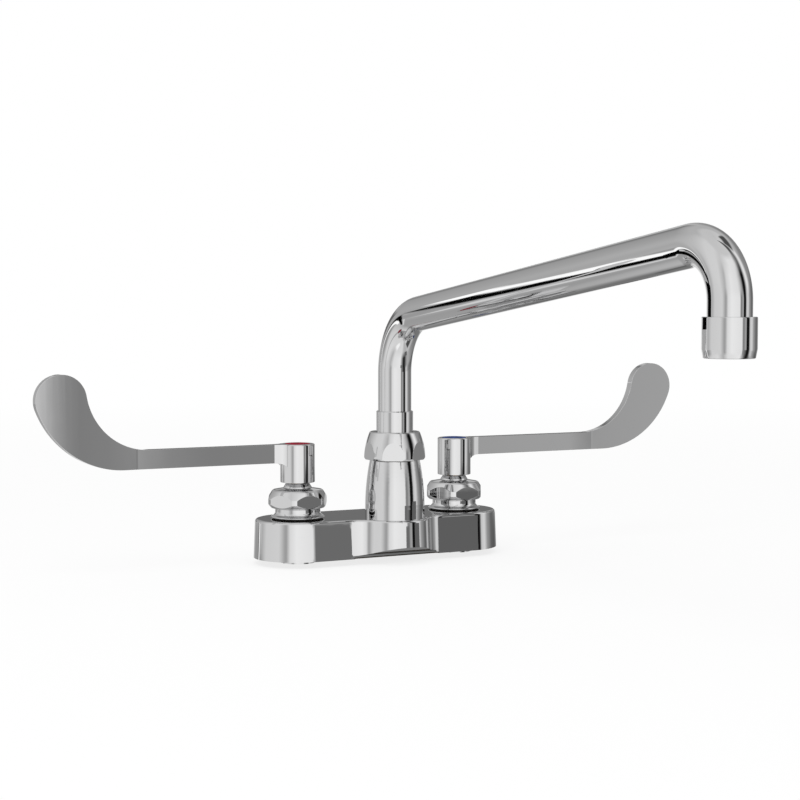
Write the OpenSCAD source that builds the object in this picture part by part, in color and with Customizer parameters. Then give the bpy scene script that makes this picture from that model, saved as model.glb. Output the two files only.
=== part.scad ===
// Deck-mount kitchen faucet: one cast base with its column, two quarter-turn valves with long blade
// handles, and a tubular spout that swings on the column. Millimetres. The deck is the plane z = 0,
// the valve axes stand on the X axis, and the user stands on the -Y side.

/* [Base] */
// Distance between the two valve axes
valve_spacing = 101.6; // [100:0.2:120]
// Radius of the rounded ends of the base at the deck, and half its depth
base_end_r = 25.2; // [24.5:0.1:28]
// Height of the base
base_h = 22; // [21.5:0.1:24]
// How far the walls lean in from the deck to the top
base_draft = 0.8; // [0.2:0.1:1.2]
// Radius of the rounded top edge
base_edge_r = 1.5; // [0.8:0.1:2.2]
// Thickness of the outer walls round the hollow underside
base_wall = 3; // [2.4:0.1:3.4]
// Thickness of the top over the hollow underside
base_roof = 3.5; // [2.5:0.1:4.5]
// Radius of the hollow round between the swelling of the front and its flat walls
front_fillet_r = 15; // [12:0.5:18]
// Height of the slope under the swelling of the front
front_slope_h = 7; // [5:0.5:9]
// Height of the gap that the front wall leaves over the deck
front_gap_h = 1.8; // [1:0.1:2.4]
// Depth of that gap
front_gap_t = 1.4; // [0.8:0.1:1.8]
// Thickness of the ribs inside the base
rib_t = 3; // [2:0.1:4]

/* [Inlets] */
// Outer radius of the short stubs that pass into the deck's holes
stub_r = 9.9; // [9.6:0.1:10.5]
// How far the stubs reach below the deck plane
stub_depth = 3.1; // [2:0.1:20]
// Radius of the inlet's tapped bore
inlet_r = 7.9; // [7:0.1:8.2]
// Height at which the tapped bore ends
inlet_top_z = 6.5; // [5:0.1:6.6]
// Radius of the port through the valve seat
port_r = 4.5; // [3.5:0.1:4.8]
// Height of the valve seat
seat_z = 9; // [8.6:0.1:9.2]
// Outer radius of the bosses under the valves
valve_boss_r = 16; // [15:0.1:17]
// Radius of the water passage from each valve to the column
passage_r = 3.2; // [2.5:0.1:3.3]
// Height of that passage's axis
passage_z = 13; // [12.8:0.1:13.2]

/* [Column] */
// Distance from the valve line forward to the column's axis
column_forward = 21.9; // [20:0.1:23]
// Radius of the column at its foot
column_foot_r = 17; // [16.5:0.1:18]
// Radius of the column under the spout nut
column_top_r = 14.3; // [14:0.1:15]
// Height of the column's shoulder under the spout nut
column_top_z = 55.2; // [52:0.1:60]
// Height at which the column starts to draw in
column_bend_z = 28; // [24:0.5:34]
// Radius of the threaded neck
neck_r = 13; // [12.6:0.1:13.2]
// Height of the threaded neck
neck_h = 6.6; // [6:0.1:7]
// Radius of the bore in which the spout swivels
swivel_bore_r = 9.6; // [9.4:0.05:9.8]
// Length of the swivel bore
swivel_bore_h = 23; // [20:0.5:26]
// Radius of the water passage inside the column
column_passage_r = 7; // [6:0.1:7.4]

/* [Spout] */
// Reach of the spout from the column's axis to the outlet's axis
reach = 304.8; // [200:0.1:360]
// Outer radius of the tube
tube_r = 9.525; // [9.2:0.005:9.7]
// Wall of the tube
tube_wall = 1.2; // [0.8:0.1:1.6]
// Angle at which the tube rises to the front
rise_angle = 7; // [2:0.5:12]
// Height at which the rising tube's axis would meet the column's axis
rise_z = 134.7; // [128:0.1:150]
// Radius of the lower bend, at the tube's axis
lower_bend_r = 34.2; // [28:0.1:40]
// Radius of the bend over the outlet, at the tube's axis
outlet_bend_r = 24; // [20:0.1:26]
// Radius of the collar at the foot of the tube
collar_r = 10.55; // [10.3:0.05:10.8]
// Height of the collar above the spout nut
collar_h = 11.8; // [8:0.1:14]
// Radius of the water passage in the swivel sleeve
sleeve_passage_r = 6.6; // [5.5:0.1:6.8]
// Thickness of the split ring
split_ring_t = 2.2; // [1.6:0.1:2.4]
// Radius of the swivel's O-rings' section
swivel_seal_r = 0.9; // [0.7:0.05:1]
// Width of the gap in the split ring
split_gap = 2.4; // [1:0.1:4]

/* [Spout nut] */
// Distance across the flats of the spout nut
nut_flats = 32.5; // [31:0.1:33]
// Radius to which the nut's corners are turned
nut_corner_r = 17.45; // [17:0.05:18]
// Height of the spout nut
nut_h = 15.8; // [15:0.1:17]
// Radius of the curve that draws the nut in towards its top
nut_dome_r = 36; // [32:0.5:60]
// Thickness of the slip washer
slip_washer_t = 1; // [0.6:0.1:1.2]

/* [Outlet] */
// Outer radius of the outlet sleeve
outlet_r = 11.6; // [11.4:0.1:12.6]
// Length of the outlet sleeve
outlet_len = 17.3; // [16:0.1:20]
// Height of the outlet's mouth
outlet_z = 121.5; // [118:0.1:124]
// Length of the drawn-in end of the outlet sleeve
outlet_taper_h = 4; // [2:0.1:5]
// Radius of the outlet sleeve at its mouth
outlet_mouth_r = 10.95; // [10.6:0.05:11.2]
// Radius of the mouth's opening
mouth_bore_r = 8.7; // [8:0.1:9]
// Thickness of the lip at the mouth
mouth_lip = 1; // [0.8:0.1:1.4]
// Thickness of the screen
screen_t = 0.6; // [0.4:0.1:0.8]
// Distance between the screen's holes
screen_pitch = 2.4; // [2:0.1:3]
// Thickness of the flow straightener
straightener_t = 4; // [3:0.1:4.5]
// Distance between the flow straightener's holes
straightener_pitch = 3.4; // [3:0.1:4]
// Thickness of the outlet washer
outlet_washer_t = 1.6; // [1:0.1:2]

/* [Bonnets] */
// Distance across the flats of the bonnets
bonnet_flats = 31.8; // [31:0.1:33]
// Radius to which the bonnet's corners are turned
bonnet_corner_r = 17.5; // [17:0.05:18]
// Height of the top of the bonnet's hexagon
hex_top_z = 37.2; // [36.5:0.1:38]
// Height of the underside of the bonnet's hexagon
hex_foot_z = 28.3; // [27:0.1:30]
// Radius of the bonnet's neck
bonnet_neck_r = 12.9; // [12.6:0.1:13.5]
// Radius of the bonnet's flared foot
bonnet_foot_r = 15.3; // [14.5:0.1:16]
// Radius of the bonnet's thread in the base
bonnet_thread_r = 12.4; // [12:0.1:12.5]
// Height of the lower end of the bonnet's thread
bonnet_thread_z = 16.6; // [16.4:0.1:17.5]
// Thickness of the washer under the bonnet
bonnet_washer_t = 0.7; // [0.5:0.1:1.2]
// Radius of the rim of the gland nut
gland_r = 8.3; // [8:0.1:9]
// Radius of the gland nut's thread
gland_thread_r = 7; // [6.6:0.1:7.2]

/* [Cartridges] */
// Outer radius of the cartridge sleeve
cartridge_r = 10; // [9.8:0.05:10.1]
// Radius of the pocket in which the discs lie
pocket_r = 8.7; // [8.6:0.05:8.8]
// Height of the top of the cartridge sleeve
cartridge_top_z = 33; // [32:0.1:33.2]
// Thickness of the seat seal
seat_seal_t = 1.9; // [1.5:0.1:2.1]
// Thickness of the fixed disc
fixed_disc_t = 2.8; // [2.4:0.1:3]
// Thickness of the moving disc
moving_disc_t = 3; // [2.8:0.1:3.2]
// Radius of the stem
stem_r = 5; // [4.6:0.1:5.1]
// Width of the stem's square end
stem_square = 6.3; // [5.8:0.1:6.5]
// Radius of the stem's O-rings' section
stem_seal_r = 0.75; // [0.6:0.05:0.85]

/* [Handles] */
// Radius of the hub
hub_r = 9.9; // [9.4:0.1:10.5]
// Height of the underside of the hub
hub_foot_z = 42.6; // [42.4:0.1:44]
// Height of the top of the hub and the arm
hub_top_z = 64.5; // [62:0.1:68]
// Length of the handle from the valve's axis to its tip
handle_len = 152.4; // [130:0.1:180]
// Height of the arm
arm_h = 10.5; // [10:0.1:12]
// Thickness of the arm and the blade
arm_t = 5; // [4:0.1:6]
// Distance from the valve's axis to where the arm has its own thickness
arm_root = 14.7; // [14:0.1:17]
// Width of the bevel round the rims of the arm and the blade
rim = 1; // [0.4:0.1:1.6]
// Radius of the rounded top edge of the hub
hub_edge_r = 1.2; // [0.6:0.1:1.6]
// Radius of the hollow round under the arm where it leaves the hub
root_fillet_r = 2.5; // [1:0.1:5]
// Width of the blade
blade_w = 28.1; // [26:0.1:30]
// How far the blade's top stands above the arm's top
blade_rise = 41.9; // [40:0.1:46]
// Radius of the blade's outer curve
blade_outer_r = 51.5; // [48:0.5:56]
// Radius of the curve inside the blade's sweep
blade_inner_r = 35.7; // [32:0.1:44]
// Distance from the valve's axis to where the blade bends to the front
blade_bend_at = 94; // [86:0.5:102]
// Angle of that bend
blade_bend = 3; // [0.5:0.5:6]
// Radius of the index button
index_r = 7.2; // [6.6:0.1:7.4]
// How far the index button stands above the hub
index_proud = 0.4; // [0.2:0.1:0.8]
// Radius of the handle screw's head
screw_head_r = 4.2; // [3.8:0.1:4.8]
// Radius of the handle screw's shank
screw_r = 2.1; // [1.8:0.05:2.3]
// Thickness of the web between the stem's socket and the screw's recess
hub_web = 2; // [1.6:0.1:2.4]
// Depth of the recess in the top of the hub
hub_recess = 6; // [5.5:0.1:6.4]

/* [Fits] */
// Clearance round screwed, pressed and laid-in pieces
seat_gap = 0.08; // [0.05:0.01:0.1]
// Clearance round pieces that turn
turn_gap = 0.2; // [0.15:0.01:0.25]
// Clearance between a seal and the bore it rubs
seal_gap = 0.03; // [0.02:0.01:0.05]

/* [Hidden] */
$fn = 72;
HOT = -1;
COLD = 1;
cut = 1;
bevel = 0.5;
slack = 0.05;

// Front of the base: the swelling is coaxial with the column, and the hollow rounds bite a hair into it
ledge = 2.2;
front_gap_end = 3;
swell_r = column_foot_r + ledge + base_draft;
fillet_y = -(base_end_r + front_fillet_r);
fillet_x = sqrt(pow(swell_r + front_fillet_r - slack, 2) - pow(fillet_y + column_forward, 2));
cavity_z = base_h - base_roof;
boss_foot_z = 2;
passage_foot_z = 6;
column_boss_r = column_passage_r + 6;

// Heights inside the valves
chamber_r = bonnet_thread_r + seat_gap;
washer_top_z = base_h + bonnet_washer_t;
fixed_disc_z = seat_z + seat_seal_t;
moving_disc_z = fixed_disc_z + fixed_disc_t + slack;
foot_z = moving_disc_z + moving_disc_t + slack;
foot_t = 2.4;
sleeve_foot_z = seat_z + 0.6;
shoulder_z = foot_z + foot_t + 0.4;
disc_r = pocket_r - turn_gap;
disc_port_r = 2.4;
disc_notch_r = 3.1;
disc_notch_at = 0.72 * disc_r;
foot_r = disc_r - 0.3;
stop_r = 6.6;
stem_bore_r = stem_r + turn_gap;
drive_w = 2.6;
drive_len = 12;
drive_depth = 1.6;
bonnet_web = 1.8;
bonnet_washer_out = 0.3;
gland_seat_z = cartridge_top_z + seat_gap + bonnet_web;
dome_rise = 2.3;
hex_bevel_top = 3.6;
hex_bevel_foot = 2.4;
shoulder_r = 2.4;
gland_top_z = hub_foot_z - 0.4;
gland_rim_z = hex_top_z + dome_rise;

// Heights inside the hubs
socket_top_z = hub_top_z - hub_recess - hub_web;
stem_top_z = socket_top_z - 0.5;
recess_r = index_r + seat_gap;
recess_z = hub_top_z - hub_recess;
screw_tip_z = stem_top_z - 8;
screw_head_t = 2.8;
screw_slot_w = 0.9;
screw_slot_t = 1.5;
socket_w = stem_square + 2 * slack;

// Outline of the arm and blade: arcs that meet each other and the arm smoothly
arm_foot_z = hub_top_z - arm_h;
tip_r = blade_w / 2;
tip_x = handle_len - tip_r;
tip_z = hub_top_z + blade_rise - tip_r;
outer_z = arm_foot_z + blade_outer_r;
outer_x = tip_x - sqrt(pow(blade_outer_r - tip_r, 2) - pow(outer_z - tip_z, 2));
inner_z = hub_top_z + blade_inner_r;
inner_x = tip_x - sqrt(pow(blade_inner_r + tip_r, 2) - pow(inner_z - tip_z, 2));
outer_a = atan2(tip_z - outer_z, tip_x - outer_x);
inner_a = atan2(tip_z - inner_z, tip_x - inner_x);

// Heights at the swivel
neck_top_z = column_top_z + neck_h;
nut_foot_z = column_top_z + 0.2;
nut_top_z = nut_foot_z + nut_h;
collar_top_z = nut_top_z + collar_h;
ring_z = neck_top_z + 3 * slack;
ring_top_z = ring_z + split_ring_t;
slip_washer_z = ring_top_z + slack;
lip_z = slip_washer_z + slip_washer_t + slack;
plug_r = swivel_bore_r - 0.1;
groove_r = plug_r - 0.3;
bore_floor_z = neck_top_z - swivel_bore_h;
plug_foot_z = bore_floor_z + 0.6;
tube_foot_z = nut_top_z - 4;
groove_play = 0.1;
seal_pitch = 6.5;
seal_z = plug_foot_z + 4;
swivel_groove_r = swivel_bore_r - seal_gap - 2 * swivel_seal_r;
stem_groove_r = stem_bore_r - seal_gap - 2 * stem_seal_r;

// Route of the spout tube
lower_turn = 90 - rise_angle;
outlet_turn = 90 + rise_angle;
lower_run = lower_bend_r * tan(lower_turn / 2);
outlet_run = outlet_bend_r * tan(outlet_turn / 2);
outlet_corner_z = rise_z + reach * tan(rise_angle);
rise_len = reach / cos(rise_angle) - lower_run - outlet_run;
outlet_top_z = outlet_z + outlet_len;
screen_z = outlet_z + mouth_lip;
straightener_z = screen_z + screen_t;
outlet_washer_z = straightener_z + straightener_t;
tube_end_z = outlet_washer_z + outlet_washer_t;
insert_r = tube_r + 0.1;
bend_swell = 0.05;
run_in = 1;

// Points of an arc about [x, y] from angle a to angle b, in n steps
function arc(x, y, r, a, b, n) =
    [for (i = [0:n]) let (t = a + (b - a) * i / n) [x + r * cos(t), y + r * sin(t)]];

// Half section of the base's wall: leans in with height and ends in a rounded edge
function wall_profile(r) = concat(
    [[0, 0], [r, 0]],
    arc(r - base_draft - base_edge_r, base_h - base_edge_r, base_edge_r, 0, 90, 6),
    [[0, base_h]]
);

// Section of the hollow round's cutter, the wall's own section turned inside out
function hollow_profile(r) = concat(
    [[0, -cut], [r, -cut], [r, 0]],
    arc(r + base_draft + base_edge_r, base_h - base_edge_r, base_edge_r, 180, 90, 6),
    [[r + base_draft + base_edge_r, base_h + cut], [0, base_h + cut]]
);

module at_valve(side) {
    translate([side * valve_spacing / 2, 0, 0]) mirror([side < 0 ? 1 : 0, 0, 0]) children();
}

module at_column() {
    translate([0, -column_forward, 0]) children();
}

module ring(r_out, r_in, z, h) {
    translate([0, 0, z]) difference() {
        cylinder(r = r_out, h = h);
        translate([0, 0, -cut]) cylinder(r = r_in, h = h + 2 * cut);
    }
}

module o_ring(r_out, r_section, z) {
    translate([0, 0, z]) rotate_extrude() translate([r_out - r_section, 0]) circle(r = r_section, $fn = 24);
}

// What is cut from a shaft of radius r_out for an O-ring at height z
module seal_groove(r_out, r_floor, r_section, z) {
    ring(r_out + cut, r_floor, z - r_section - groove_play, 2 * (r_section + groove_play));
}

module base_shell() {
    for (side = [HOT, COLD]) at_valve(side) rotate_extrude($fn = 96) polygon(wall_profile(base_end_r));
    half = wall_profile(base_end_r);
    back_to_front = concat(half, [for (i = [len(half) - 2:-1:1]) [-half[i][0], half[i][1]]]);
    translate([-valve_spacing / 2, 0, 0])
        rotate([90, 0, 90]) linear_extrude(valve_spacing) polygon(back_to_front);
}

module base_swelling() {
    at_column() rotate_extrude($fn = 96) polygon(wall_profile(swell_r));
    for (side = [-1, 1]) difference() {
        linear_extrude(base_h)
            polygon([
                [0, -column_forward], [side * fillet_x, -column_forward], [side * fillet_x, fillet_y]
            ]);
        translate([side * fillet_x, fillet_y, 0])
            rotate_extrude($fn = 96) polygon(hollow_profile(front_fillet_r));
    }
}

// The slope rises from the gap at the flat walls to the lip of the swelling
module front_slope() {
    lip_y = column_forward + swell_r;
    run = lip_y - base_end_r;
    translate([-fillet_x - cut, 0, 0]) rotate([90, 0, 90]) linear_extrude(2 * (fillet_x + cut))
        polygon([
            [-base_end_r, front_gap_h], [-base_end_r, -cut], [-lip_y - run, -cut],
            [-lip_y - run, 2 * front_slope_h - front_gap_h]
        ]);
}

// Under the swelling the front wall stands clear of the deck and is set back behind a narrow gap
module front_gap() {
    half = fillet_x - front_gap_end;
    translate([-half, -base_end_r - cut, -cut]) cube([2 * half, front_gap_t + cut, front_gap_h + cut]);
}

module column_outside() {
    drop = column_foot_r - column_top_r;
    rise = column_top_z - column_bend_z;
    bell_r = (pow(rise, 2) + pow(drop, 2)) / (2 * drop);
    bell_a = asin(rise / bell_r);
    rotate_extrude($fn = 96) polygon(concat(
        [[0, cavity_z], [column_foot_r, cavity_z]],
        arc(column_foot_r - bell_r, column_bend_z, bell_r, 0, bell_a, 12),
        [
            [neck_r, column_top_z], [neck_r, neck_top_z - bevel], [neck_r - bevel, neck_top_z],
            [0, neck_top_z]
        ]
    ));
}

// The underside is hollow but for the bosses, the water passages' walls and one rib to the back, whose
// foot lies in the deck plane
module base_hollow() {
    hollow_r = base_end_r - base_wall;
    difference() {
        translate([0, 0, -cut]) union() {
            for (side = [HOT, COLD]) at_valve(side) cylinder(r = hollow_r, h = cavity_z + cut);
            translate([-valve_spacing / 2, -hollow_r, 0])
                cube([valve_spacing, 2 * hollow_r, cavity_z + cut]);
        }
        for (side = [HOT, COLD]) at_valve(side) translate([0, 0, -2 * cut])
            cylinder(r = valve_boss_r, h = base_h);
        at_column() translate([0, 0, boss_foot_z]) cylinder(r = column_boss_r, h = base_h);
        for (side = [HOT, COLD]) along_passage(side)
            translate([0, -passage_r - rib_t, passage_foot_z - passage_z])
                cube([passage_len(), 2 * (passage_r + rib_t), base_h]);
        translate([-rib_t / 2, -column_forward, -2 * cut]) cube([rib_t, 2 * base_end_r, base_h]);
    }
}

function passage_len() = norm([valve_spacing / 2, column_forward]);

// Places along +X a passage that runs from the column's axis to a valve's axis
module along_passage(side) {
    at_column() translate([0, 0, passage_z])
        rotate([0, 0, atan2(column_forward, side * valve_spacing / 2)]) children();
}

module body_casting() {
    color("silver") difference() {
        union() {
            base_shell();
            difference() {
                base_swelling();
                front_slope();
            }
            at_column() column_outside();
            for (side = [HOT, COLD]) at_valve(side) translate([0, 0, -stub_depth])
                cylinder(r = stub_r, h = stub_depth + cut);
        }
        front_gap();
        base_hollow();
        for (side = [HOT, COLD]) at_valve(side) {
            translate([0, 0, -stub_depth - cut]) cylinder(r = inlet_r, h = inlet_top_z + stub_depth + cut);
            cylinder(r = port_r, h = base_h);
            translate([0, 0, seat_z]) cylinder(r = chamber_r, h = base_h);
        }
        for (side = [HOT, COLD]) along_passage(side) rotate([0, 90, 0])
            cylinder(r = passage_r, h = passage_len() - cartridge_r);
        at_column() {
            translate([0, 0, passage_z - passage_r]) cylinder(r = column_passage_r, h = bore_floor_z);
            translate([0, 0, bore_floor_z]) cylinder(r = swivel_bore_r, h = swivel_bore_h + cut);
        }
    }
}

// Turned outside of the bonnet, from its thread in the base to the dome round the gland nut
function bonnet_profile() = concat(
    [
        [0, bonnet_thread_z], [bonnet_thread_r, bonnet_thread_z], [bonnet_thread_r, washer_top_z],
        [bonnet_foot_r - 0.3, washer_top_z], [bonnet_foot_r, washer_top_z + 0.5]
    ],
    arc(bonnet_neck_r + 2.6, washer_top_z + 3.4, 2.6, 250, 180, 6),
    [
        [bonnet_neck_r, hex_foot_z - 0.4], [bonnet_flats / 2 - 0.7, hex_foot_z],
        [bonnet_corner_r, hex_foot_z + hex_bevel_foot], [bonnet_corner_r, hex_top_z - hex_bevel_top]
    ],
    arc(bonnet_corner_r - hex_bevel_top - 1, hex_top_z - 0.9, shoulder_r, 33, 78, 5),
    [[gland_r + 0.5, gland_rim_z - 0.1], [0, gland_rim_z - 0.1]]
);

module bonnet(side) {
    color("silver") at_valve(side) difference() {
        intersection() {
            rotate_extrude() polygon(bonnet_profile());
            union() {
                cylinder(r = bonnet_flats / 2 - 0.4, h = hex_foot_z);
                cylinder(r = bonnet_flats / sqrt(3), h = gland_rim_z, $fn = 6);
            }
        }
        translate([0, 0, bonnet_thread_z - cut])
            cylinder(r = cartridge_r + seat_gap, h = cartridge_top_z + seat_gap - bonnet_thread_z + cut);
        cylinder(r = stem_bore_r, h = hub_foot_z);
        translate([0, 0, gland_seat_z]) cylinder(r = gland_thread_r + seat_gap, h = base_h);
    }
}

module bonnet_washer(side) {
    color("dimgray") at_valve(side)
        ring(bonnet_neck_r + bonnet_washer_out, bonnet_thread_r + seat_gap, base_h, bonnet_washer_t);
}

module gland_nut(side) {
    color("silver") at_valve(side) difference() {
        rotate_extrude() polygon(concat(
            [
                [0, gland_seat_z], [gland_thread_r, gland_seat_z], [gland_thread_r, gland_rim_z],
                [gland_r, gland_rim_z]
            ],
            arc(gland_r - 2.2, gland_top_z - 1, 1, 33, 90, 4),
            [[0, gland_top_z]]
        ));
        cylinder(r = stem_bore_r, h = hub_top_z);
    }
}

// Two side windows let the water out, and a quadrant of a rib in the pocket stops the stem
module cartridge_sleeve(side) {
    window_h = moving_disc_t - slack;
    color("goldenrod") at_valve(side) difference() {
        translate([0, 0, sleeve_foot_z]) cylinder(r = cartridge_r, h = cartridge_top_z - sleeve_foot_z);
        difference() {
            translate([0, 0, sleeve_foot_z - cut])
                cylinder(r = pocket_r, h = shoulder_z - sleeve_foot_z + cut);
            intersection() {
                ring(pocket_r + cut, stop_r + turn_gap, foot_z + turn_gap, foot_t + cut);
                translate([turn_gap, turn_gap, foot_z]) cube(pocket_r + cut);
            }
        }
        cylinder(r = stem_bore_r, h = base_h * 2);
        translate([0, 0, moving_disc_z + window_h / 2])
            cube([pocket_r, 3 * pocket_r, window_h], center = true);
    }
}

module seat_seal(side) {
    color("black") at_valve(side) ring(pocket_r - 1.2, port_r + 0.2, seat_z, seat_seal_t);
}

// Two round ports lie on the X axis
module fixed_disc(side) {
    color("white") at_valve(side) difference() {
        translate([0, 0, fixed_disc_z]) cylinder(r = disc_r + turn_gap - seat_gap, h = fixed_disc_t);
        for (s = [-1, 1]) translate([s * disc_r / 2, 0, fixed_disc_z - cut])
            cylinder(r = disc_port_r, h = fixed_disc_t + 2 * cut);
    }
}

// Its two notches lie on the Y axis when shut, and come over the ports after a quarter turn
module moving_disc(side) {
    color("white") at_valve(side) difference() {
        translate([0, 0, moving_disc_z]) cylinder(r = disc_r, h = moving_disc_t);
        for (s = [-1, 1]) translate([0, s * disc_notch_at, moving_disc_z - cut])
            cylinder(r = disc_notch_r, h = moving_disc_t + 2 * cut);
        translate([0, 0, foot_z])
            cube([drive_len + 2 * turn_gap, drive_w + turn_gap, 2 * drive_depth + turn_gap], center = true);
    }
}

// The foot's rim is cut away over half its round, which leaves a quarter turn between the stops
module stem(side) {
    color("goldenrod") at_valve(side) difference() {
        union() {
            translate([0, 0, foot_z - drive_depth / 2])
                cube([drive_len, drive_w, drive_depth + 4 * slack], center = true);
            difference() {
                translate([0, 0, foot_z]) cylinder(r = foot_r, h = foot_t);
                intersection() {
                    ring(pocket_r, stop_r, foot_z - cut, foot_t + 2 * cut);
                    translate([-pocket_r, 0, 0]) cube([2 * pocket_r, pocket_r, base_h]);
                }
            }
            translate([0, 0, foot_z]) cylinder(r = stem_r, h = hub_foot_z - slack - foot_z);
            intersection() {
                translate([0, 0, stem_top_z / 2])
                    cube([stem_square, stem_square, stem_top_z], center = true);
                translate([0, 0, hub_foot_z - cut])
                    cylinder(r = stem_square * 0.62, h = stem_top_z - hub_foot_z + cut);
            }
        }
        for (z = stem_seal_heights()) seal_groove(stem_r, stem_groove_r, stem_seal_r, z);
        translate([0, 0, screw_tip_z - 1]) cylinder(r = screw_r + seat_gap / 2, h = base_h);
    }
}

function stem_seal_heights() = [shoulder_z + 3, shoulder_z + 7];

module stem_o_rings(side) {
    color("black") at_valve(side) for (z = stem_seal_heights())
        o_ring(stem_bore_r - seal_gap, stem_seal_r, z);
}

// Outline of the arm and blade in [distance from the valve's axis, height], from inside the root on
function handle_outline() = concat(
    [[hub_r, arm_foot_z]],
    arc(outer_x, outer_z, blade_outer_r, -90, outer_a, 10),
    arc(tip_x, tip_z, tip_r, outer_a + 8, inner_a + 172, 20),
    arc(inner_x, inner_z, blade_inner_r, inner_a, -90, 10),
    [[hub_r, hub_top_z]]
);

// What the bevel takes from the rim of a wall whose face is at x = face and whose edge is at y = edge:
// out and up are 1 or -1, the sides on which the air lies
function bevel_section(face, edge, out, up) = [
    [face - out * (rim + cut), edge + up * cut],
    [face + out * cut, edge - up * (rim + cut)],
    [face + out * cut, edge + up * cut]
];

// Bevels of both faces along a straight edge of the arm at height z, up to a place on the X axis
module straight_rims(z, up, to) {
    for (s = [-1, 1]) translate([hub_r - cut, 0, 0]) rotate([90, 0, 90])
        linear_extrude(to - hub_r + cut) polygon(bevel_section(s * arm_t / 2, z, s, up));
}

// Bevels of both faces along an arc of the outline, from angle a to angle b
module curved_rims(x, z, r, out, a, b) {
    for (s = [-1, 1]) translate([x, 0, z]) rotate([90, -a, 0])
        rotate_extrude(angle = b - a) polygon(bevel_section(r, s * arm_t / 2, out, s));
}

module flat_handle_plate() {
    difference() {
        rotate([90, 0, 0]) linear_extrude(arm_t, center = true) polygon(handle_outline());
        straight_rims(arm_foot_z, -1, outer_x);
        straight_rims(hub_top_z, 1, inner_x);
        curved_rims(outer_x, outer_z, blade_outer_r, 1, -90, outer_a);
        curved_rims(tip_x, tip_z, tip_r, 1, outer_a, inner_a + 180);
        curved_rims(inner_x, inner_z, blade_inner_r, -1, -90, inner_a);
    }
}

// The plate's two halves meet in the plane that halves the angle of the bend, and overlap by a hair
module handle_plate() {
    for (half = [0, 1]) translate([blade_bend_at, 0, 0]) intersection() {
        rotate([0, 0, -half * blade_bend]) translate([-blade_bend_at, 0, 0]) flat_handle_plate();
        rotate([0, 0, -blade_bend / 2])
            translate([(half - 1) * handle_len - slack, -handle_len / 2, 0])
                cube([handle_len + 2 * slack, handle_len, 2 * hub_top_z]);
    }
}

// Where the arm widens to the hub, its sides run into the hub's round almost without a corner
module handle_root() {
    root = [arm_root, arm_t / 2 - slack];
    touch_r = hub_r - slack;
    a = atan2(root[1], root[0]) + acos(touch_r / norm(root));
    touch = [touch_r * cos(a), touch_r * sin(a)];
    difference() {
        translate([0, 0, arm_foot_z]) linear_extrude(arm_h)
            polygon([[0, 0], [touch[0], -touch[1]], [root[0], -root[1]], root, touch]);
        for (s = [-1, 1], edge = [[arm_foot_z, -1], [hub_top_z, 1]])
            translate([root[0], s * root[1], 0]) rotate([0, 0, s * (a - 90)])
                translate([-norm(root - touch) - rim, 0, 0]) rotate([90, 0, 90])
                    linear_extrude(norm(root - touch) + 2 * rim)
                        polygon(bevel_section(0, edge[0], s, edge[1]));
    }
    rotate([90, 0, 0]) linear_extrude(arm_t - 2 * rim, center = true) polygon(concat(
        [[hub_r - cut, arm_foot_z + cut], [hub_r - cut, arm_foot_z - root_fillet_r]],
        arc(hub_r + root_fillet_r, arm_foot_z - root_fillet_r, root_fillet_r, 180, 90, 6),
        [[hub_r + root_fillet_r, arm_foot_z + cut]]
    ));
}

module handle(side) {
    color("silver") at_valve(side) difference() {
        union() {
            rotate_extrude() polygon(concat(
                [[0, hub_foot_z], [hub_r - bevel, hub_foot_z], [hub_r, hub_foot_z + bevel]],
                arc(hub_r - hub_edge_r, hub_top_z - hub_edge_r, hub_edge_r, 0, 90, 5),
                [[0, hub_top_z]]
            ));
            handle_root();
            handle_plate();
        }
        translate([-socket_w / 2, -socket_w / 2, hub_foot_z - cut])
            cube([socket_w, socket_w, socket_top_z - hub_foot_z + cut]);
        translate([0, 0, hub_foot_z]) cylinder(r = screw_r + 0.2, h = hub_top_z);
        translate([0, 0, recess_z]) cylinder(r = recess_r, h = hub_recess + cut);
    }
}

module handle_screw(side) {
    color("silver") at_valve(side) difference() {
        union() {
            translate([0, 0, screw_tip_z]) cylinder(r = screw_r, h = recess_z - screw_tip_z + 2 * slack);
            translate([0, 0, recess_z + slack]) cylinder(r = screw_head_r, h = screw_head_t);
        }
        for (a = [0, 90]) rotate([0, 0, a]) translate([0, 0, recess_z + screw_head_t])
            cube([screw_head_r * 1.2, screw_slot_w, 2 * screw_slot_t], center = true);
    }
}

module index_button(side) {
    skirt = 0.9;
    cap_z = hub_top_z - 1.2;
    color(side == HOT ? "red" : "royalblue") at_valve(side) difference() {
        rotate_extrude() polygon([
            [0, recess_z + slack], [index_r, recess_z + slack], [index_r, hub_top_z],
            [index_r - bevel, hub_top_z + 0.7 * index_proud],
            [index_r / 2, hub_top_z + 0.95 * index_proud], [0, hub_top_z + index_proud]
        ]);
        cylinder(r = index_r - skirt, h = cap_z);
    }
}

// A ring segment of the bent tube in the YZ plane: starts at the origin along +Z and bends to -Y
module bend(r, turn, bore) {
    translate([0, -r, 0]) rotate([90, 0, 90])
        rotate_extrude(angle = turn) translate([r, 0]) circle(r = bore);
}

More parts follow.
